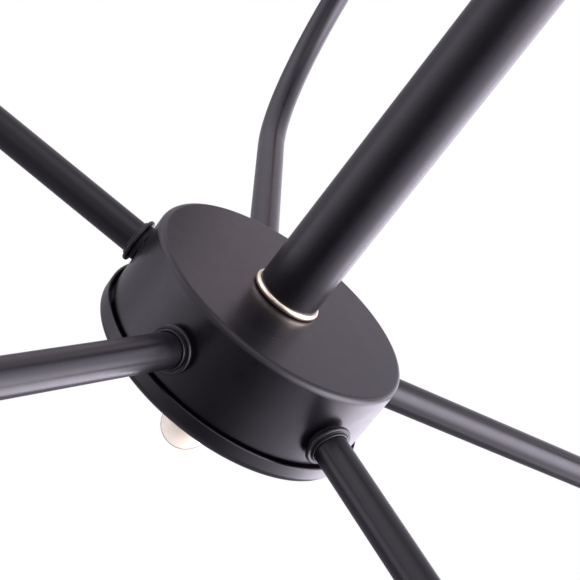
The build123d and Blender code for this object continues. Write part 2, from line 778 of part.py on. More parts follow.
with BuildPart() as finial_stud:
    with BuildSketch(level(cover_base_z - stud_in_finial)):
        Circle(m6_radius)
    extrude(amount=hub_top_z - stud_tip_drop - (cover_base_z - stud_in_finial))
keep(finial_stud, "finial_stud")
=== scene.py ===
import json
import math

import bpy
from mathutils import Matrix, Vector


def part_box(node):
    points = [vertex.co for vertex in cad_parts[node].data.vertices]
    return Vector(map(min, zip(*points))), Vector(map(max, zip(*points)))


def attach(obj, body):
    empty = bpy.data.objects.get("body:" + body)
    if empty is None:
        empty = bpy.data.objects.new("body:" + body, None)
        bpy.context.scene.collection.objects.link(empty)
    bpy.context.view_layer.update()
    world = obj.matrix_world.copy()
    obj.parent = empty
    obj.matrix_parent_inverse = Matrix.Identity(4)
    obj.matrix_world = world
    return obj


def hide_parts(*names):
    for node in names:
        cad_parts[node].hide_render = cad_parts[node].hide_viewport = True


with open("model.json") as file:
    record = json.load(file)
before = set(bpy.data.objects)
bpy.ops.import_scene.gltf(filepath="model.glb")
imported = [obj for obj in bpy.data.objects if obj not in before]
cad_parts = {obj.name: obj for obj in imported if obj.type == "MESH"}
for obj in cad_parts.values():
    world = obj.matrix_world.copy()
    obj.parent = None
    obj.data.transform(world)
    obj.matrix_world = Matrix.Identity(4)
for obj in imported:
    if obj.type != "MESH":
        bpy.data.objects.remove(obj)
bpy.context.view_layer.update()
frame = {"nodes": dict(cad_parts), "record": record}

# ---------------------------------------------------------------- sizes, metres
MM = 0.001
ARM_COUNT = 5
FIRST_ARM = 162.0
ARM_SPACING = 72.0

ROD_RADIUS = 11.5 * MM
ROD_WALL = 1.5 * MM
ROD_EDGE = 0.25 * MM
SLEEVE_GAP = 0.05 * MM
SLEEVE_LEAD = 0.8 * MM
SLEEVE_EDGE = 0.3 * MM

HUB_RADIUS = 50.0 * MM
HUB_WALL = 1.5 * MM
HUB_FILLET = 2.4 * MM
HUB_EDGE = 0.3 * MM
RING_RADIUS = 12.8 * MM
RING_HEIGHT = 2.5 * MM
RING_FILLET = 1.2 * MM
RING_SEAT = 1.2 * MM
RING_GAP = 0.05 * MM
RING_LIP = 0.04 * MM

COVER_RADIUS = 52.0 * MM
COVER_WALL = 1.0 * MM
COVER_FLOOR = 1.45 * MM
COVER_FILLET = 3.4 * MM
COVER_HOLE = 3.2 * MM
COVER_HOLE_EDGE = 0.2 * MM
COVER_RIM_RISE = 7.7 * MM
COVER_RIM_EDGE = 0.45 * MM
LOCATING_RADIUS = 47.2 * MM
LOCATING_WALL = 1.2 * MM
LOCATING_FOOT = 0.4 * MM
LOCATING_EDGE = 0.3 * MM

BALL_RADIUS = 9.0 * MM
BEAD_HEIGHT = 2.4 * MM
BEAD_BULGE = 1.4 * MM
NECK_RADIUS = 4.2 * MM
NECK_FLARE = 2.2 * MM
FLARE_POWER = 2.6
CAP_RADIUS = 7.0 * MM
CAP_HEIGHT = 2.0 * MM
# The cap's rounded edges: how far each point lies inside the cap's radius and from its face.
CAP_TOP_EDGE = ((0.3 * MM, 0.0), (0.05 * MM, 0.15 * MM), (0.0, 0.4 * MM))
CAP_BASE_EDGE = ((0.0, 0.6 * MM), (0.15 * MM, 0.2 * MM), (0.6 * MM, 0.0))
STUD_BORE = 3.05 * MM
STUD_DEPTH = 13.0 * MM
STUD_RADIUS = 3.0 * MM
STUD_PITCH = 1.0 * MM
THREAD_DEPTH = 0.55 * MM

ARM_RADIUS = 6.0 * MM
ARM_WALL = 1.0 * MM
ARM_DROP = 18.3 * MM
BEND_START = 181.0 * MM
BEND_RADIUS = 110.0 * MM
ARM_RISE = 14.0 * MM
TUBE_START = 52.3 * MM
TUBE_LEAD = 2.0 * MM
UPRIGHT_REACH = BEND_START + BEND_RADIUS
NIPPLE_RADIUS = 5.0 * MM
NIPPLE_HOLE = 5.2 * MM

# The collar's neck is a dark piece in painted shade that fills the gap between the flange and the
# drum.
COLLAR_NECK_RADIUS = 6.7 * MM
COLLAR_NECK_EDGE = 0.05 * MM
COLLAR_BACK = 1.7 * MM
COLLAR_OVERLAP = 0.05 * MM
COLLAR_FLANGE_RADIUS = 8.3 * MM
COLLAR_FACE = 3.3 * MM
COLLAR_BACK_EDGE = 0.5 * MM
COLLAR_FACE_EDGE = 0.6 * MM
GROOVE_RADIUS = 6.95 * MM
GROOVE_FLOOR_RADIUS = 6.9 * MM
GROOVE_FLOOR = 3.05 * MM
GROOVE_RIM = 0.12 * MM
GROOVE_ROUNDING = 0.08 * MM
SEAT_RADIUS = 6.75 * MM
SEAT_END = 4.2 * MM
SEAT_EDGE = 0.35 * MM
SEAT_BORE = 6.06 * MM
SEAT_BORE_EDGE = 0.2 * MM
SEAT_FLOOR = 2.35 * MM

SOCKET_RING_RADIUS = 8.0 * MM
SOCKET_RING_FILLET = 0.9 * MM
SOCKET_RING_EDGE = 0.1 * MM
CUP_RADIUS = 21.0 * MM
CUP_WALL = 1.5 * MM
CUP_FLOOR = 2.5 * MM
CUP_FILLET = 6.0 * MM
CUP_EDGE = 0.5 * MM
WIRE_BORE = 4.0 * MM
HOLDER_RADIUS = 18.5 * MM
HOLDER_BORE = 13.9 * MM
HOLDER_DEPTH = 24.0 * MM
HOLDER_STEP = 1.2 * MM
LIP_DROP = 0.6 * MM
HOLDER_BASE_EDGE = 0.6 * MM
HOLDER_STEP_EDGE = 0.3 * MM
HOLDER_RIM_EDGE = 0.4 * MM
HOLDER_LIP_EDGE = 0.2 * MM
HOLDER_FINE_EDGE = 0.1 * MM
# The lampholder's rim: radii of its outer step, groove and inner lip.
RIM_STEP_RADIUS = 17.3 * MM
RIM_OUTER = 16.3 * MM
GROOVE_OUTER = 16.1 * MM
GROOVE_INNER = 15.3 * MM
RIM_INNER = 15.1 * MM
LAMP_BORE = 13.3 * MM
LAMP_PITCH = 3.62 * MM
WAVE_DEPTH = 1.0 * MM
WAVE_RUNOUT = 1.2 * MM
SHELL_THICKNESS = 0.5 * MM

CANOPY_WALL = 1.5 * MM
CANOPY_FILLET = 3.0 * MM
CANOPY_EDGE = 0.35 * MM
WASHER_RADIUS = 8.0 * MM
WASHER_EDGE = 0.2 * MM
WASHER_BORE_EDGE = 0.1 * MM
NUT_FLATS = 14.0 * MM
NUT_BORE = 5.05 * MM
# Shares of the nut's corner that the chamfer takes, and of its flats that the face keeps.
NUT_CHAMFER = 0.55
NUT_FACE = 0.97

hub_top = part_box("hub_drum")[1].z
hub_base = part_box("hub_drum")[0].z
canopy_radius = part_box("canopy_shell")[1].x
arm_z = hub_top - ARM_DROP
azimuths = [math.radians(FIRST_ARM + ARM_SPACING * n) for n in range(ARM_COUNT)]

# ---------------------------------------------------------------- materials
# Cells of noise a metre, and the relief's height in metres and its strength.
COAT_SHADE_SCALE = 38
COAT_GLOSS_SCALE = 210
COAT_GRAIN_SCALE = 1500
COAT_RELIEF = 9e-6
COAT_STRENGTH = 0.6
METAL_SHADE_SCALE = 90
METAL_MARK_SCALE = 420
METAL_RELIEF = 2e-6
METAL_STRENGTH = 0.5
PLASTIC_SHADE_SCALE = 120
PLASTIC_GRAIN_SCALE = 2600
PLASTIC_RELIEF = 8e-6
PLASTIC_STRENGTH = 0.5
# The finial's finish: two shades, the colour and extent of the painted shade that darkens its
# outline, and its gloss.
SATIN_PALE = (1.0, 0.94, 0.74)
SATIN_DEEP = (0.98, 0.9, 0.7)
PAINTED_RIM_SHADE = (0.04, 0.03, 0.03)
RIM_SHADE_START = 0.74
RIM_SHADE_END = 0.86
RIM_SHADE_BLEND = 0.5
SATIN_IOR = 1.7
SATIN_SMOOTH = 0.2
SATIN_ROUGH = 0.26


def material(name):
    """A new node material: its nodes, links, shader and a texture coordinate in metres."""
    made = bpy.data.materials.new(name)
    made.use_nodes = True
    nodes, links = made.node_tree.nodes, made.node_tree.links
    shader = nodes["Principled BSDF"]
    place = nodes.new("ShaderNodeTexCoord")
    return made, nodes, links, shader, place.outputs["Object"]


def noise(nodes, links, place, scale, detail, roughness=0.5):
    """Noise of `scale` cells a metre."""
    texture = nodes.new("ShaderNodeTexNoise")
    texture.inputs["Scale"].default_value = scale
    texture.inputs["Detail"].default_value = detail
    texture.inputs["Roughness"].default_value = roughness
    links.new(place, texture.inputs["Vector"])
    return texture.outputs["Fac"]


def spread(nodes, links, value, low, high, start=0.3, end=0.7):
    """Maps a value between start and end onto low to high; the middle of noise by default."""
    node = nodes.new("ShaderNodeMapRange")
    node.inputs["From Min"].default_value = start
    node.inputs["From Max"].default_value = end
    node.inputs["To Min"].default_value = low
    node.inputs["To Max"].default_value = high
    links.new(value, node.inputs["Value"])
    return node.outputs["Result"]


def blend_colour(nodes, links, value, first, second):
    """A colour between first and second, by value."""
    node = nodes.new("ShaderNodeMix")
    node.data_type = "RGBA"
    node.inputs["A"].default_value = (*first, 1)
    node.inputs["B"].default_value = (*second, 1)
    links.new(value, node.inputs["Factor"])
    return node.outputs["Result"]


def bump(nodes, links, shader, height, distance, strength):
    """Surface relief of `distance` metres."""
    node = nodes.new("ShaderNodeBump")
    node.inputs["Distance"].default_value = distance
    node.inputs["Strength"].default_value = strength
    links.new(height, node.inputs["Height"])
    links.new(node.outputs["Normal"], shader.inputs["Normal"])


def coated(name, dark, light, smooth, rough):
    """Satin powder coat: fine even relief, slow changes of shade and gloss."""
    made, nodes, links, shader, place = material(name)
    slow = noise(nodes, links, place, COAT_SHADE_SCALE, detail=3.0)
    colour = blend_colour(nodes, links, slow, dark, light)
    links.new(colour, shader.inputs["Base Color"])
    gloss = noise(nodes, links, place, COAT_GLOSS_SCALE, detail=4.0, roughness=0.6)
    links.new(spread(nodes, links, gloss, smooth, rough), shader.inputs["Roughness"])
    grain = noise(nodes, links, place, COAT_GRAIN_SCALE, detail=2.0, roughness=0.55)
    bump(nodes, links, shader, grain, COAT_RELIEF, COAT_STRENGTH)
    return made


def metal(name, colour, tarnish, smooth, rough):
    """Bare or plated metal with fine marks and slightly uneven gloss."""
    made, nodes, links, shader, place = material(name)
    shader.inputs["Metallic"].default_value = 1.0
    slow = noise(nodes, links, place, METAL_SHADE_SCALE, detail=4.0)
    links.new(
        blend_colour(nodes, links, spread(nodes, links, slow, 0, 1), colour, tarnish),
        shader.inputs["Base Color"],
    )
    marks = noise(nodes, links, place, METAL_MARK_SCALE, detail=5.0, roughness=0.65)
    links.new(spread(nodes, links, marks, smooth, rough), shader.inputs["Roughness"])
    bump(nodes, links, shader, marks, METAL_RELIEF, METAL_STRENGTH)
    return made


def moulded(name, colour, shade, smooth, rough):
    """Moulded plastic with a faint grain."""
    made, nodes, links, shader, place = material(name)
    slow = noise(nodes, links, place, PLASTIC_SHADE_SCALE, detail=3.0)
    links.new(blend_colour(nodes, links, slow, colour, shade), shader.inputs["Base Color"])
    grain = noise(nodes, links, place, PLASTIC_GRAIN_SCALE, detail=2.0)
    links.new(spread(nodes, links, grain, smooth, rough), shader.inputs["Roughness"])
    bump(nodes, links, shader, grain, PLASTIC_RELIEF, PLASTIC_STRENGTH)
    return made


black_coat = coated(
    "black_powder_coat", (0.0032, 0.0025, 0.004), (0.0048, 0.0038, 0.0056), 0.27, 0.33
)
# A darker, duller copy of the black coat: painted shade for the collar necks in the gap against
# the drum.
black_shadow = coated(
    "black_painted_shade", (0.0014, 0.0012, 0.0016), (0.002, 0.0018, 0.0022), 0.5, 0.6
)
pale_gold = metal("pale_gold_plate", (0.98, 0.86, 0.68), (0.95, 0.81, 0.62), 0.1, 0.16)


def satin_gold():
    """Pale lacquered gold, with painted shade darkening its outline."""
    made, nodes, links, shader, place = material("satin_gold")
    shader.inputs["IOR"].default_value = SATIN_IOR
    slow = noise(nodes, links, place, METAL_SHADE_SCALE, detail=4.0)
    body = blend_colour(nodes, links, slow, SATIN_PALE, SATIN_DEEP)
    # Painted shade: the colour turns dark where the surface turns away from view, at the ball's
    # outline.
    facing = nodes.new("ShaderNodeLayerWeight")
    facing.inputs["Blend"].default_value = RIM_SHADE_BLEND
    rim = spread(nodes, links, facing.outputs["Facing"], 0, 1, RIM_SHADE_START, RIM_SHADE_END)
    node = nodes.new("ShaderNodeMix")
    node.data_type = "RGBA"
    links.new(body, node.inputs["A"])
    node.inputs["B"].default_value = (*PAINTED_RIM_SHADE, 1)
    links.new(rim, node.inputs["Factor"])
    links.new(node.outputs["Result"], shader.inputs["Base Color"])
    marks = noise(nodes, links, place, METAL_MARK_SCALE, detail=5.0, roughness=0.65)
    gloss = spread(nodes, links, marks, SATIN_SMOOTH, SATIN_ROUGH)
    links.new(gloss, shader.inputs["Roughness"])
    return made


finial_gold = satin_gold()
zinc_plate = metal("zinc_plate", (0.66, 0.68, 0.71), (0.58, 0.6, 0.63), 0.24, 0.4)
stamped_brass = metal("stamped_brass", (0.83, 0.63, 0.3), (0.75, 0.54, 0.24), 0.2, 0.34)
thermoset = moulded("black_thermoset", (0.02, 0.02, 0.02), (0.03, 0.03, 0.03), 0.38, 0.5)
pale_nylon = moulded("pale_nylon", (0.78, 0.78, 0.74), (0.7, 0.7, 0.66), 0.4, 0.52)
by_slot = {
    "black": black_coat,
    "gold": pale_gold,
    "zinc": zinc_plate,
    "brass": stamped_brass,
    "phenolic": thermoset,
    "nylon": pale_nylon,
}

# ---------------------------------------------------------------- mesh tools
SHARP_ANGLE = math.radians(32)
NORMAL_WEIGHT = 50
ON_AXIS = 1e-7


def rounded(corners, steps):
    """Points of a closed profile from its corners (radius, height, fillet)."""
    points = []
    count = len(corners)
    for n, (r, z, fillet) in enumerate(corners):
        here = Vector((r, z))
        if fillet <= 0:
            points.append((r, z))
            continue
        back = Vector(corners[n - 1][:2]) - here
        ahead = Vector(corners[(n + 1) % count][:2]) - here
        back.normalize()
        ahead.normalize()
        half = back.angle(ahead) / 2
        reach = fillet / math.tan(half)
        middle = (back + ahead).normalized() * (fillet / math.sin(half)) + here
        first = here + back * reach - middle
        last = here + ahead * reach - middle
        turn = math.atan2(first.x * last.y - first.y * last.x, first.dot(last))
        for step in range(steps + 1):
            a = turn * step / steps
            points.append(
                (
                    middle.x + first.x * math.cos(a) - first.y * math.sin(a),
                    middle.y + first.x * math.sin(a) + first.y * math.cos(a),
                )
            )
    return points


def make(name, verts, faces, finish, body, place=None, hides=()):
    """A smooth-shaded mesh that rides on its body and takes the place of the nodes in hides."""
    data = bpy.data.meshes.new(name)
    data.from_pydata(verts, [], faces)
    if place is not None:
        data.transform(place)
    data.validate()
    data.update()
    data.polygons.foreach_set("use_smooth", [True] * len(data.polygons))
    data.set_sharp_from_angle(angle=SHARP_ANGLE)
    data.materials.append(finish)
    piece = bpy.data.objects.new(name, data)
    bpy.context.scene.collection.objects.link(piece)
    weighted = piece.modifiers.new("weighted_normals", "WEIGHTED_NORMAL")
    weighted.keep_sharp = True
    weighted.weight = NORMAL_WEIGHT
    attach(piece, body)
    if hides:
        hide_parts(*hides)
    return piece


def turned(profile, segments, closed=True):
    """Vertices and faces of a profile of (radius, height) turned round the Z axis."""
    verts, rings = [], []
    for r, z in profile:
        if r < ON_AXIS:
            rings.append([len(verts)] * segments)
            verts.append((0, 0, z))
            continue
        rings.append(list(range(len(verts), len(verts) + segments)))
        for n in range(segments):
            a = 2 * math.pi * n / segments
            verts.append((r * math.cos(a), r * math.sin(a), z))
    faces = []
    last = len(rings) if closed else len(rings) - 1
    for n in range(last):
        one, two = rings[n], rings[(n + 1) % len(rings)]
        for k in range(segments):
            j = (k + 1) % segments
            corner = [one[k], one[j], two[j], two[k]]
            face = [v for m, v in enumerate(corner) if v not in corner[:m]]
            if len(face) > 2:
                faces.append(face)
    return verts, faces


def outward(verts, faces):
    """Turns the faces over where the closed mesh is inside out."""
    volume = 0.0
    for face in faces:
        a = Vector(verts[face[0]])
        for n in range(1, len(face) - 1):
            volume += a.dot(Vector(verts[face[n]]).cross(Vector(verts[face[n + 1]])))
    return faces if volume > 0 else [face[::-1] for face in faces]


def lathe(name, profile, finish, body, segments=96, closed=True, place=None, hides=()):
    """A piece turned from a profile of (radius, height)."""
    verts, faces = turned(profile, segments, closed)
    faces = outward(verts, faces)
    return make(name, verts, faces, finish, body, place, hides)


def threaded(name, outer, pitch, depth, low, high, finish, body, hides):
    """Solid rod with a helical V thread that runs out at both ends."""
    segments, rows_a_turn = 48, 8
    rows = max(2, round((high - low) / pitch * rows_a_turn))
    verts, faces = [], []
    for row in range(rows + 1):
        z = low + (high - low) * row / rows
        ease = min(1.0, (high - z) / pitch, (z - low) / pitch)
        for n in range(segments):
            phase = ((z - low) / pitch - n / segments) % 1.0
            root = abs(2 * phase - 1)
            r = outer - depth * (1 - ease + ease * root)
            a = 2 * math.pi * n / segments
            verts.append((r * math.cos(a), r * math.sin(a), z))
    for row in range(rows):
        for n in range(segments):
            j = (n + 1) % segments
            base = row * segments
            faces.append([base + n, base + j, base + segments + j, base + segments + n])
    top = rows * segments
    faces.append(list(range(segments))[::-1])
    faces.append([top + n for n in range(segments)])
    faces = outward(verts, faces)
    return make(name, verts, faces, finish, body, hides=hides)


def ring_profile(inner, outer, low, high, fillet, inner_fillet=0.0):
    """Corners of a plain ring or tube."""
    return [
        (inner, low, inner_fillet),
        (outer, low, fillet),
        (outer, high, fillet),
        (inner, high, inner_fillet),
    ]


def nut(name, flats, bore, low, high, finish, body, hides):
    """Hexagon nut with chamfered corners."""
    segments = 72
    verts, faces, rings = [], [], []
    flat = flats / 2
    chamfer = (flat / math.cos(math.pi / 6) - flat) * NUT_CHAMFER

    def ring(radius_at, z):
        rings.append(len(verts))
        for n in range(segments):
            a = 2 * math.pi * n / segments
            r = radius_at(a)
            verts.append((r * math.cos(a), r * math.sin(a), z))

    def hexagon(a):
        return flat / math.cos((a + math.pi / 6) % (math.pi / 3) - math.pi / 6)

    ring(lambda a: bore, low)
    ring(lambda a: flat * NUT_FACE, low)
    ring(hexagon, low + chamfer)
    ring(hexagon, high - chamfer)
    ring(lambda a: flat * NUT_FACE, high)
    ring(lambda a: bore, high)
    for n in range(len(rings)):
        one, two = rings[n], rings[(n + 1) % len(rings)]
        for k in range(segments):
            j = (k + 1) % segments
            faces.append([one + k, one + j, two + j, two + k])
    faces = outward(verts, faces)
    return make(name, verts, faces, finish, body, hides=hides)


def across(azimuth, reach):
    """Places a piece whose axis runs outward along an arm, from `reach`."""
    out = Vector((math.cos(azimuth), math.sin(azimuth), 0))
    side = Vector((-out.y, out.x, 0))
    turn = Matrix((Vector((0, 0, -1)), side, out)).transposed().to_4x4()
    return Matrix.Translation(out * reach + Vector((0, 0, arm_z))) @ turn


def upright(azimuth):
    """Places a piece on the upright end of an arm."""
    out = Vector((math.cos(azimuth), math.sin(azimuth), 0))
    return Matrix.Translation(out * UPRIGHT_REACH) @ Matrix.Rotation(azimuth, 4, "Z")


# ---------------------------------------------------------------- hub


def low_high(node):
    """Lowest and highest level of a CAD node."""
    low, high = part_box(node)
    return low.z, high.z


def hub():
    """Drum, ring at the rod's foot, cover and finial."""
    top, base = hub_top, hub_base
    inner = HUB_RADIUS - HUB_WALL
    lathe(
        "hub_drum_shell",
        rounded(
            [
                (NIPPLE_HOLE, top, 0),
                (HUB_RADIUS, top, HUB_FILLET),
                (HUB_RADIUS, base, HUB_EDGE),
                (inner, base, HUB_EDGE),
                (inner, top - HUB_WALL, HUB_FILLET - HUB_WALL),
                (NIPPLE_HOLE, top - HUB_WALL, 0),
            ],
            steps=10,
        ),
        black_coat,
        "suspension",
        segments=240,
        hides=("hub_drum",),
    )
    low = low_high("base_ring")[0]
    high = low + RING_HEIGHT
    seat = high - RING_SEAT
    lathe(
        "rod_foot_ring",
        rounded(
            [
                (NIPPLE_HOLE, low, 0),
                (RING_RADIUS, low, RING_FILLET),
                (RING_RADIUS, high, RING_FILLET),
                (ROD_RADIUS + RING_GAP, high, RING_LIP),
                (ROD_RADIUS + RING_GAP, seat, 0),
                (NIPPLE_HOLE, seat, 0),
            ],
            steps=8,
        ),
        pale_gold,
        "suspension",
        segments=160,
        hides=("base_ring",),
    )
    cover()
    finial()


def cover():
    """Dish with an upturned rim and a locating ring inside."""
    low, high = low_high("bottom_cover")
    rim = low + COVER_RIM_RISE
    floor = low + COVER_FLOOR
    inner = COVER_RADIUS - COVER_WALL
    ring_out, ring_in = LOCATING_RADIUS, LOCATING_RADIUS - LOCATING_WALL
    lathe(
        "bottom_cover_dish",
        rounded(
            [
                (COVER_HOLE, low, COVER_HOLE_EDGE),
                (COVER_RADIUS, low, COVER_FILLET),
                (COVER_RADIUS, rim, COVER_RIM_EDGE),
                (inner, rim, COVER_RIM_EDGE),
                (inner, floor, COVER_FILLET - COVER_WALL),
                (ring_out, floor, LOCATING_FOOT),
                (ring_out, high, LOCATING_EDGE),
                (ring_in, high, LOCATING_EDGE),
                (ring_in, floor, LOCATING_FOOT),
                (COVER_HOLE, floor, 0),
            ],
            steps=10,
        ),
        black_coat,
        "cover",
        segments=240,
        hides=("bottom_cover",),
    )


def finial():
    """Ball under a bead, a flared neck and a flat cap, with its threaded stud."""
    low, high = low_high("finial")
    ball_z = low + BALL_RADIUS
    bead = ball_z + BALL_RADIUS
    neck = high - CAP_HEIGHT
    profile = [(0, high - STUD_DEPTH), (STUD_BORE, high - STUD_DEPTH), (STUD_BORE, high)]
    profile += [(CAP_RADIUS - inset, high - drop) for inset, drop in CAP_TOP_EDGE]
    profile += [(CAP_RADIUS - inset, neck + rise) for inset, rise in CAP_BASE_EDGE]
    span = neck - (bead + BEAD_HEIGHT)
    flare_steps, bead_steps, ball_steps = 12, 12, 40
    for step in range(1, flare_steps + 1):
        t = step / flare_steps
        profile.append((NECK_RADIUS + NECK_FLARE * (1 - t) ** FLARE_POWER, neck - span * t))
    for step in range(1, bead_steps):
        t = step / bead_steps
        bulge = BEAD_BULGE * math.sin(math.pi * t)
        profile.append((NECK_RADIUS + bulge, bead + BEAD_HEIGHT * (1 - t)))
    start = math.asin(NECK_RADIUS / BALL_RADIUS)
    for step in range(ball_steps + 1):
        a = start + (math.pi - start) * step / ball_steps
        profile.append((BALL_RADIUS * math.sin(a), ball_z + BALL_RADIUS * math.cos(a)))
    profile[-1] = (0, low)
    lathe(
        "finial_ball",
        profile,
        finial_gold,
        "finial",
        segments=128,
        closed=False,
        hides=("finial",),
    )
    low, high = low_high("finial_stud")
    threaded(
        "finial_stud_thread",
        STUD_RADIUS,
        STUD_PITCH,
        THREAD_DEPTH,
        low,
        high,
        zinc_plate,
        "finial",
        hides=("finial_stud",),
    )


# ---------------------------------------------------------------- rod


def rod():
    """Two tubes and the sleeve that joins them."""
    for node in ("upper_rod", "lower_rod"):
        low, high = low_high(node)
        lathe(
            node + "_tube",
            rounded(
                ring_profile(ROD_RADIUS - ROD_WALL, ROD_RADIUS, low, high, ROD_EDGE),
                steps=4,
            ),
            black_coat,
            "suspension",
            segments=144,
            hides=(node,),
        )
    band_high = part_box("upper_rod")[0].z
    band_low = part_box("lower_rod")[1].z
    low, high = low_high("rod_coupler")
    sleeve = ROD_RADIUS - ROD_WALL - SLEEVE_GAP
    lathe(
        "rod_coupler_sleeve",
        rounded(
            [
                (WIRE_BORE, low, SLEEVE_EDGE),
                (sleeve, low, SLEEVE_LEAD),
                (sleeve, band_low, 0),
                (ROD_RADIUS, band_low, SLEEVE_EDGE),
                (ROD_RADIUS, band_high, SLEEVE_EDGE),
                (sleeve, band_high, 0),
                (sleeve, high, SLEEVE_LEAD),
                (WIRE_BORE, high, SLEEVE_EDGE),
            ],
            steps=4,
        ),
        black_coat,
        "suspension",
        segments=144,
        hides=("rod_coupler",),
    )


# ---------------------------------------------------------------- arms


def arm_tube(number, azimuth):
    """Tube that runs straight out, bends up through a right angle and ends upright."""
    path = [(TUBE_START, 0.0), (TUBE_START + TUBE_LEAD, 0.0)]
    straight = 8
    for step in range(1, straight + 1):
        path.append((TUBE_START + (BEND_START - TUBE_START) * step / straight, 0.0))
    bends = 60
    for step in range(1, bends + 1):
        a = math.pi / 2 * step / bends
        path.append((BEND_START + BEND_RADIUS * math.sin(a), BEND_RADIUS * (1 - math.cos(a))))
    path.append((UPRIGHT_REACH, BEND_RADIUS + ARM_RISE * 0.5))
    path.append((UPRIGHT_REACH, BEND_RADIUS + ARM_RISE))
    segments = 72
    verts, faces = [], []
    inner = ARM_RADIUS - ARM_WALL
    for radius in (ARM_RADIUS, inner):
        for n, (s, z) in enumerate(path):
            a = min(max((s - BEND_START) / BEND_RADIUS, 0), 1)
            lean = math.asin(a) if z < BEND_RADIUS else math.pi / 2
            for k in range(segments):
                b = 2 * math.pi * k / segments
                up = radius * math.cos(b)
                verts.append(
                    (s - up * math.sin(lean), radius * math.sin(b), z + up * math.cos(lean))
                )
    length = len(path)
    for layer in (0, 1):
        for n in range(length - 1):
            base = (layer * length + n) * segments
            for k in range(segments):
                j = (k + 1) % segments
                quad = [base + k, base + j, base + segments + j, base + segments + k]
                faces.append(quad if layer == 0 else quad[::-1])
    for n in (0, length - 1):
        out, within = n * segments, (length + n) * segments
        for k in range(segments):
            j = (k + 1) % segments
            quad = [out + k, within + k, within + j, out + j]
            faces.append(quad if n == 0 else quad[::-1])
    faces = outward(verts, faces)
    place = Matrix.Translation((0, 0, arm_z)) @ Matrix.Rotation(azimuth, 4, "Z")
    make(
        f"arm_tube_{number}",
        verts,
        faces,
        black_coat,
        "suspension",
        place,
        hides=(f"arm_{number}",),
    )


def arm_foot(number, azimuth):
    """Stepped collar: a neck against the drum in painted shade, flange and a thin seat ring."""
    place = across(azimuth, HUB_RADIUS)
    lathe(
        # The neck is drawn in painted shade, darker and duller than the coat.
        f"arm_collar_painted_shade_neck_{number}",
        rounded(
            ring_profile(
                NIPPLE_HOLE, COLLAR_NECK_RADIUS, 0, COLLAR_BACK + COLLAR_OVERLAP, COLLAR_NECK_EDGE
            ),
            steps=2,
        ),
        black_shadow,
        "suspension",
        segments=72,
        place=place,
    )
    lathe(
        f"arm_collar_flange_{number}",
        rounded(
            [
                (NIPPLE_HOLE, COLLAR_BACK, 0),
                (COLLAR_FLANGE_RADIUS, COLLAR_BACK, COLLAR_BACK_EDGE),
                (COLLAR_FLANGE_RADIUS, COLLAR_FACE, COLLAR_FACE_EDGE),
                (GROOVE_RADIUS, COLLAR_FACE, GROOVE_RIM),
                (GROOVE_FLOOR_RADIUS, GROOVE_FLOOR, GROOVE_ROUNDING),
                (SEAT_RADIUS, COLLAR_FACE, GROOVE_ROUNDING),
                (SEAT_RADIUS, SEAT_END, SEAT_EDGE),
                (SEAT_BORE, SEAT_END, SEAT_BORE_EDGE),
                (SEAT_BORE, SEAT_FLOOR, 0),
                (NIPPLE_HOLE, SEAT_FLOOR, 0),
            ],
            steps=6,
        ),
        black_coat,
        "suspension",
        segments=96,
        place=place,
        hides=(f"arm_collar_{number}",),
    )


def lamp_end(number, azimuth):
    """Gold ring, cup, lampholder and screw shell on an arm's upright end."""
    place = upright(azimuth)
    low, high = low_high(f"socket_ring_{number}")
    lathe(
        f"socket_ring_gold_{number}",
        rounded(
            ring_profile(
                NIPPLE_RADIUS, SOCKET_RING_RADIUS, low, high, SOCKET_RING_FILLET, SOCKET_RING_EDGE
            ),
            steps=6,
        ),
        pale_gold,
        "suspension",
        segments=96,
        place=place,
        hides=(f"socket_ring_{number}",),
    )
    low, high = low_high(f"socket_cup_{number}")
    floor = low + CUP_FLOOR
    inner = CUP_RADIUS - CUP_WALL
    lathe(
        f"socket_cup_shell_{number}",
        rounded(
            [
                (NIPPLE_HOLE, low, 0),
                (CUP_RADIUS, low, CUP_FILLET),
                (CUP_RADIUS, high, CUP_EDGE),
                (inner, high, CUP_EDGE),
                (inner, floor, CUP_FILLET - 2 * CUP_WALL),
                (NIPPLE_HOLE, floor, 0),
            ],
            steps=8,
        ),
        black_coat,
        "suspension",
        segments=120,
        place=place,
        hides=(f"socket_cup_{number}",),
    )
    holder(number, place)
    shell(number, place)


def holder(number, place):
    """Lampholder body with a stepped rim and an insulating lip."""
    low, high = low_high(f"lampholder_{number}")
    floor = high - HOLDER_DEPTH
    step, lip = high - HOLDER_STEP, high - LIP_DROP
    lathe(
        f"lampholder_body_{number}",
        rounded(
            [
                (WIRE_BORE, low, 0),
                (HOLDER_RADIUS, low, HOLDER_BASE_EDGE),
                (HOLDER_RADIUS, step, HOLDER_STEP_EDGE),
                (RIM_STEP_RADIUS, step, HOLDER_FINE_EDGE),
                (RIM_STEP_RADIUS, high, HOLDER_RIM_EDGE),
                (RIM_OUTER, high, HOLDER_LIP_EDGE),
                (GROOVE_OUTER, lip, HOLDER_FINE_EDGE),
                (GROOVE_INNER, lip, HOLDER_FINE_EDGE),
                (RIM_INNER, high, HOLDER_LIP_EDGE),
                (HOLDER_BORE, high, HOLDER_RIM_EDGE),
                (HOLDER_BORE, floor, HOLDER_STEP_EDGE),
                (WIRE_BORE, floor, 0),
            ],
            steps=5,
        ),
        thermoset,
        "suspension",
        segments=96,
        place=place,
        hides=(f"lampholder_{number}",),
    )


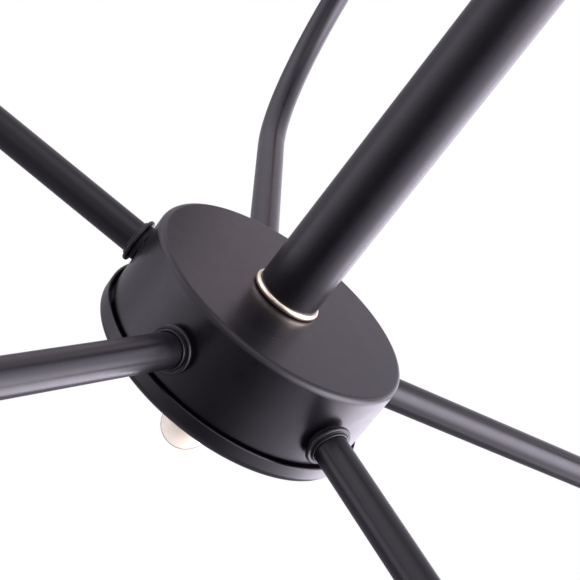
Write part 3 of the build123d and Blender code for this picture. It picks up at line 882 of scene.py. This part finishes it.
def shell(number, place):
    """Rolled brass screw shell: one sheet with a helical wave inside and out."""
    low, high = low_high(f"screw_shell_{number}")
    segments, rows = 72, 60
    verts, faces = [], []
    for skin in (0, 1):
        for row in range(rows + 1):
            z = low + (high - low) * row / rows
            ease = min(1.0, (high - z) / WAVE_RUNOUT, (z - low) / WAVE_RUNOUT)
            for n in range(segments):
                turn = (z - low) / LAMP_PITCH - n / segments
                wave = 0.5 - 0.5 * math.cos(2 * math.pi * turn)
                r = LAMP_BORE - WAVE_DEPTH * wave * ease + SHELL_THICKNESS * skin
                a = 2 * math.pi * n / segments
                verts.append((r * math.cos(a), r * math.sin(a), z))
    layer = (rows + 1) * segments
    for skin in (0, 1):
        for row in range(rows):
            base = skin * layer + row * segments
            for n in range(segments):
                j = (n + 1) % segments
                quad = [base + n, base + j, base + segments + j, base + segments + n]
                faces.append(quad if skin else quad[::-1])
    for n in range(segments):
        j = (n + 1) % segments
        top = rows * segments
        faces.append([n, j, layer + j, layer + n])
        faces.append([top + j, top + n, layer + top + n, layer + top + j])
    faces = outward(verts, faces)
    make(
        f"screw_shell_thread_{number}",
        verts,
        faces,
        stamped_brass,
        "suspension",
        place,
        hides=(f"screw_shell_{number}",),
    )


# ---------------------------------------------------------------- canopy


def canopy():
    """Ceiling cup with the washer and nut that hold the knuckle."""
    low, high = low_high("canopy_shell")
    inner = canopy_radius - CANOPY_WALL
    lathe(
        "canopy_cup",
        rounded(
            [
                (NIPPLE_HOLE, low, 0),
                (canopy_radius, low, CANOPY_FILLET),
                (canopy_radius, high, CANOPY_EDGE),
                (inner, high, CANOPY_EDGE),
                (inner, low + CANOPY_WALL, CANOPY_FILLET - CANOPY_WALL),
                (NIPPLE_HOLE, low + CANOPY_WALL, 0),
            ],
            steps=10,
        ),
        black_coat,
        "canopy",
        segments=240,
        hides=("canopy_shell",),
    )
    low, high = low_high("canopy_washer")
    lathe(
        "canopy_washer_disc",
        rounded(
            ring_profile(NIPPLE_HOLE, WASHER_RADIUS, low, high, WASHER_EDGE, WASHER_BORE_EDGE),
            steps=3,
        ),
        zinc_plate,
        "canopy",
        hides=("canopy_washer",),
    )
    low, high = low_high("canopy_nut")
    nut(
        "canopy_nut_hex",
        NUT_FLATS,
        NUT_BORE,
        low,
        high,
        zinc_plate,
        "canopy",
        hides=("canopy_nut",),
    )


hub()
rod()
canopy()
for number, azimuth in enumerate(azimuths, start=1):
    arm_tube(number, azimuth)
    arm_foot(number, azimuth)
    lamp_end(number, azimuth)

# ---------------------------------------------------------------- the other CAD nodes
slots = {s["node"]: s["material_slot"] for s in frame["record"]["subparts"]}
for name, node in frame["nodes"].items():
    node.data.materials.clear()
    node.data.materials.append(by_slot[slots[name]])

# ---------------------------------------------------------------- floor, light and camera
FLOOR_DROP = 2.6
FLOOR_RADIUS = 3.0
FLOOR_COLOUR = (0.86, 0.86, 0.86)
# The floor as glossy surfaces see it: a painted dark reflection, much darker than the floor
# itself.
FLOOR_IN_GLOSS = (0.22, 0.21, 0.23)
FLOOR_ROUGHNESS = 0.9
FLOOR_SEGMENTS = 96
white_floor, floor_nodes, floor_links, floor_shader, _ = material("pale_floor")
floor_shader.inputs["Roughness"].default_value = FLOOR_ROUGHNESS
path_kind = floor_nodes.new("ShaderNodeLightPath")
shade = floor_nodes.new("ShaderNodeMix")
shade.data_type = "RGBA"
shade.inputs["A"].default_value = (*FLOOR_COLOUR, 1)
shade.inputs["B"].default_value = (*FLOOR_IN_GLOSS, 1)
# Painted reflection: glossy rays see the floor in the darker colour.
floor_links.new(path_kind.outputs["Is Glossy Ray"], shade.inputs["Factor"])
floor_links.new(shade.outputs["Result"], floor_shader.inputs["Base Color"])
floor_shader.inputs["Emission Color"].default_value = (1, 1, 1, 1)
floor_links.new(path_kind.outputs["Is Camera Ray"], floor_shader.inputs["Emission Strength"])
floor_disc = [(0, 0), (FLOOR_RADIUS, 0)]
floor_verts, floor_faces = turned(floor_disc, FLOOR_SEGMENTS, closed=False)
floor_data = bpy.data.meshes.new("floor")
floor_data.from_pydata(floor_verts, [], floor_faces)
floor_data.materials.append(white_floor)
floor = bpy.data.objects.new("floor", floor_data)
floor.location = (0, 0, -FLOOR_DROP)
bpy.context.scene.collection.objects.link(floor)

VIEW_AZIMUTH = math.radians(-15.205)
front = Vector((math.sin(VIEW_AZIMUTH), -math.cos(VIEW_AZIMUTH), 0))
right = Vector((math.cos(VIEW_AZIMUTH), math.sin(VIEW_AZIMUTH), 0))

# The camera sees white all round. The surfaces see a dark room behind the camera, with a
# broad pale wall at the left, a brighter one at the right and a pale ceiling. Each stop is
# an angle in degrees from the camera's side and the radiance there.
LOW_WALLS = (
    (-180, 0.6),
    (-150, 0.5),
    (-128, 0.5),
    (-105, 0.8),
    (-86, 1.7),
    (-70, 1.75),
    (-55, 1.25),
    (-28, 0.5),
    (-3, 0.12),
    (9, 0.04),
    (20, 0.05),
    (35, 0.4),
    (48, 1.0),
    (63, 1.5),
    (78, 2.1),
    (95, 2.9),
    (116, 5.4),
    (130, 4.8),
    (147, 3.2),
    (165, 1.9),
    (180, 0.6),
)
HIGH_WALLS = (
    (-180, 0.85),
    (-150, 0.85),
    (-125, 1.2),
    (-100, 2.2),
    (-70, 1.3),
    (-30, 0.7),
    (10, 0.6),
    (35, 1.4),
    (60, 6.0),
    (90, 8.4),
    (105, 7.5),
    (122, 3.0),
    (138, 1.8),
    (160, 0.8),
    (180, 0.85),
)
BRIGHTEST = 9.0
CEILING = 0.7
WARM = (1.0, 0.85, 0.93)
COOL = (0.92, 0.86, 1.0)
# The light is warm within a narrow cone about WARM_CORNER (left, back, up) and cool elsewhere.
WARM_START = 0.94
# Heights of a direction, as its vertical part, between which one wall passes into the next.
WALL_CHANGE = (-0.25, 0.4)
CEILING_CHANGE = (0.6, 0.95)
WARM_CORNER = (0.2, 0.9, 0.4)
# The softbox hangs above the drum, a little toward the camera.
HALF_DRUM = 15.0 * MM
SOFTBOX_HEIGHT = 1.7
SOFTBOX_FORWARD = 0.3
SOFTBOX_SIZE = 1.3
SOFTBOX_RADIANCE = 0.6
world = bpy.data.worlds.new("studio")
bpy.context.scene.world = world
world.use_nodes = True
nodes, links = world.node_tree.nodes, world.node_tree.links
background = nodes["Background"]
coordinate = nodes.new("ShaderNodeTexCoord")


def along(axis):
    """How far a direction points along an axis."""
    node = nodes.new("ShaderNodeVectorMath")
    node.operation = "DOT_PRODUCT"
    node.inputs[1].default_value = axis
    links.new(coordinate.outputs["Generated"], node.inputs[0])
    return node.outputs["Value"]


bearing = nodes.new("ShaderNodeMath")
bearing.operation = "ARCTAN2"
links.new(along(right), bearing.inputs[0])
links.new(along(front), bearing.inputs[1])
around = spread(nodes, links, bearing.outputs["Value"], 0, 1, -math.pi, math.pi)


def walls(stops):
    """Radiance all round from a table of stops."""
    node = nodes.new("ShaderNodeValToRGB")
    ramp = node.color_ramp
    ramp.elements.remove(ramp.elements[1])
    for n, (angle, radiance) in enumerate(stops):
        where = (angle + 180) / 360
        stop = ramp.elements[0] if n == 0 else ramp.elements.new(where)
        stop.position = where
        stop.color = (*[radiance / BRIGHTEST] * 3, 1)
    links.new(around, node.inputs["Fac"])
    return spread(nodes, links, node.outputs["Color"], 0, BRIGHTEST, 0, 1)


def by_height(first, second, low, high):
    """Passes from first to second as the direction rises from low to high."""
    rise = nodes.new("ShaderNodeMapRange")
    rise.interpolation_type = "SMOOTHSTEP"
    rise.inputs["From Min"].default_value = low
    rise.inputs["From Max"].default_value = high
    links.new(along((0, 0, 1)), rise.inputs["Value"])
    node = nodes.new("ShaderNodeMix")
    node.data_type = "FLOAT"
    links.new(rise.outputs["Result"], node.inputs["Factor"])
    for value, name in ((first, "A"), (second, "B")):
        if isinstance(value, float):
            node.inputs[name].default_value = value
        else:
            links.new(value, node.inputs[name])
    return node.outputs["Result"]


room = by_height(walls(LOW_WALLS), walls(HIGH_WALLS), *WALL_CHANGE)
room = by_height(room, CEILING, *CEILING_CHANGE)
path_kind = nodes.new("ShaderNodeLightPath")
strength = nodes.new("ShaderNodeMix")
strength.data_type = "FLOAT"
strength.inputs["B"].default_value = 1.0
links.new(path_kind.outputs["Is Camera Ray"], strength.inputs["Factor"])
links.new(room, strength.inputs["A"])
links.new(strength.outputs["Result"], background.inputs["Strength"])
to_left, to_back, to_top = WARM_CORNER
far_left = (Vector((0, 0, to_top)) - right * to_left - front * to_back).normalized()
warmth = spread(nodes, links, along(far_left), 0, 1, WARM_START, 1.0)
tint = blend_colour(nodes, links, warmth, COOL, WARM)
plain = nodes.new("ShaderNodeMix")
plain.data_type = "RGBA"
plain.inputs["B"].default_value = (1, 1, 1, 1)
links.new(path_kind.outputs["Is Camera Ray"], plain.inputs["Factor"])
links.new(tint, plain.inputs["A"])
links.new(plain.outputs["Result"], background.inputs["Color"])


def softbox(name, where, target, size, radiance):
    """Square area light of a given brightness, seen in gloss but not by the camera."""
    data = bpy.data.lights.new(name, "AREA")
    data.shape = "SQUARE"
    data.size = size
    data.energy = radiance * math.pi * size * size
    lamp = bpy.data.objects.new(name, data)
    lamp.location = where
    lamp.rotation_mode = "QUATERNION"
    lamp.rotation_quaternion = (Vector(where) - Vector(target)).to_track_quat("Z", "Y")
    lamp.visible_camera = False
    bpy.context.scene.collection.objects.link(lamp)


hub_middle = Vector((0, 0, hub_top - HALF_DRUM))
above_hub = hub_middle + Vector((0, 0, SOFTBOX_HEIGHT)) + front * SOFTBOX_FORWARD
softbox("top_softbox", above_hub, hub_middle, SOFTBOX_SIZE, SOFTBOX_RADIANCE)

# The camera, fitted to the edges of rod, drum, cover and arms. OFFSET leads from the camera
# to the middle of the drum's top, along the picture's axes and into it.
UNIT = 11.505 * MM
ELEVATION = math.radians(22.23)
ROLL = math.radians(38.048)
FOCAL_PIXELS = 1477.3
PICTURE = 580
SENSOR = 36.0
NEAREST = 0.02
FARTHEST = 50.0
OFFSET = Vector((-0.1438, 0.2117, 44.0021)) * UNIT

spin = Matrix.Rotation(VIEW_AZIMUTH, 3, "Z")
level_axes = (
    Vector((1, 0, 0)),
    Vector((0, -math.sin(ELEVATION), -math.cos(ELEVATION))),
    Vector((0, math.cos(ELEVATION), -math.sin(ELEVATION))),
)
axes = (
    level_axes[0] * math.cos(ROLL) - level_axes[1] * math.sin(ROLL),
    level_axes[0] * math.sin(ROLL) + level_axes[1] * math.cos(ROLL),
    level_axes[2],
)
axes = [spin @ axis for axis in axes]
camera_data = bpy.data.cameras.new("camera")
camera_data.sensor_width = SENSOR
camera_data.lens = FOCAL_PIXELS * SENSOR / PICTURE
camera_data.clip_start = NEAREST
camera_data.clip_end = FARTHEST
camera = bpy.data.objects.new("camera", camera_data)
bpy.context.scene.collection.objects.link(camera)
place = Matrix((axes[0], -axes[1], -axes[2])).transposed().to_4x4()
where = Vector((0, 0, hub_top)) - sum((axes[n] * OFFSET[n] for n in range(3)), Vector())
camera.matrix_world = Matrix.Translation(where) @ place
bpy.context.scene.camera = camera
bpy.context.scene.view_settings.view_transform = "Standard"
